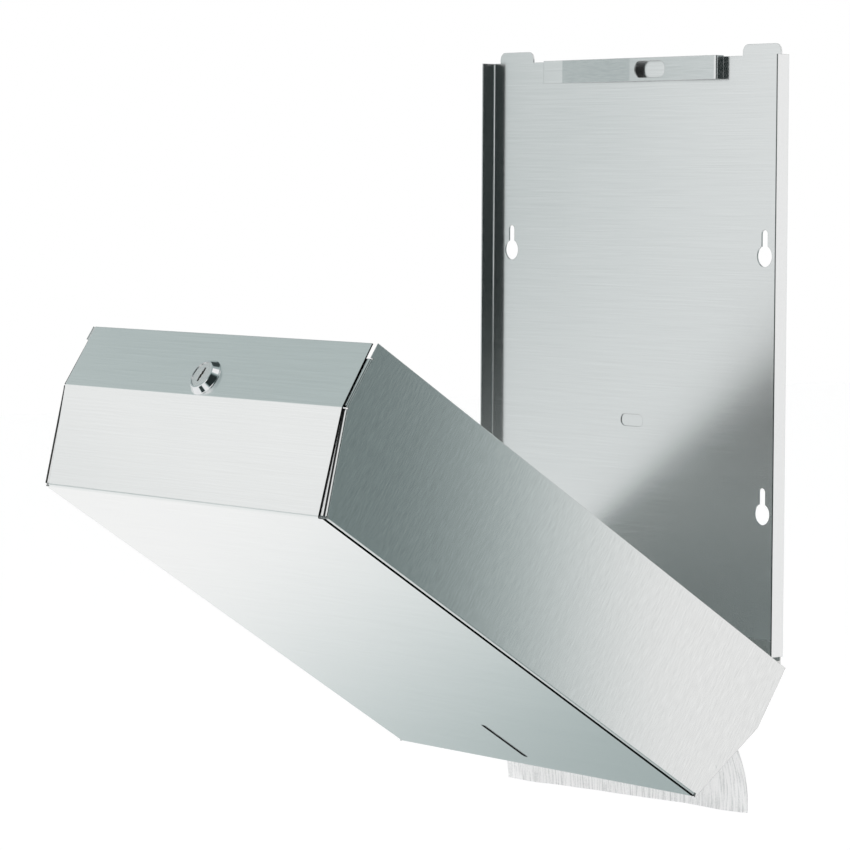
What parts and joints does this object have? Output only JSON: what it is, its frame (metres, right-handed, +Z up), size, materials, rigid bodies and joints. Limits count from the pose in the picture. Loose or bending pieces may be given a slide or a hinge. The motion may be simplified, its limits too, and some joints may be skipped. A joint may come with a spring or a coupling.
{
  "type": "vertical paper towel dispenser",
  "caption": "Wall-mounted steel towel dispenser with a hinged, cam-locked cover that swings down from a keyhole plate.",
  "frame": {"origin": "centre of the four screw holes' round ends, on the wall plane behind the plate", "axes": "+Z up, +Y into the wall, +X to the right as seen from the room"},
  "size_m": [0.273, 0.3339, 0.455],
  "materials": {
    "plate_steel": "satin stainless steel, brushed side to side",
    "strap_steel": "satin stainless steel, brushed along its length",
    "hinge_steel": "plain stainless steel",
    "cover_steel": "satin stainless steel, brushed side to side",
    "panel_steel": "satin stainless steel, brushed from front to back",
    "lock_chrome": "polished chrome plate",
    "plug_steel": "satin nickel plate with a dark keyway",
    "lock_zinc": "bright zinc plate",
    "wafer_brass": "plain brass",
    "towel_paper": "white creped paper towel"
  },
  "bodies": {
    "wall_mount": {"back_plate": "plate_steel", "latch_strap": "strap_steel", "hinge_leaf_plate": "hinge_steel", "hinge_pin": "hinge_steel"},
    "cover": {"cover_wrap": "cover_steel", "side_panel_left": "panel_steel", "side_panel_right": "panel_steel", "hinge_leaf_cover": "hinge_steel", "lock_housing": "lock_chrome", "lock_washer": "lock_zinc", "lock_nut": "lock_zinc", "towel_stack": "towel_paper"},
    "lock": {"lock_plug": "plug_steel", "lock_wafers": "wafer_brass", "wafer_springs": "lock_zinc", "stop_washer": "lock_zinc", "lock_cam": "lock_zinc", "cam_washer": "lock_zinc", "cam_screw": "lock_zinc"},
    "hanging_towel": {"towel_leaf": "towel_paper"}
  },
  "joints": [
    {"name": "cover_hinge", "type": "hinge", "parent": "wall_mount", "child": "cover", "pos_m": [0, -0.0026, -0.1605], "axis": [1, 0, 0], "range_deg": [-56.85, 0]},
    {"name": "lock_turn", "type": "hinge", "parent": "cover", "child": "lock", "pos_m": [0, -0.31448, 0.00844], "axis": [0, -0.8372, 0.5468], "range_deg": [0, 90]},
    {"name": "towel_swing", "type": "hinge", "parent": "cover", "child": "hanging_towel", "pos_m": [0, -0.02852, -0.19887], "axis": [1, 0, 0], "range_deg": [0, 56.85]}
  ],
  "couplings": [
    {"joint": "towel_swing", "follows": "cover_hinge", "ratio": -1}
  ]
}
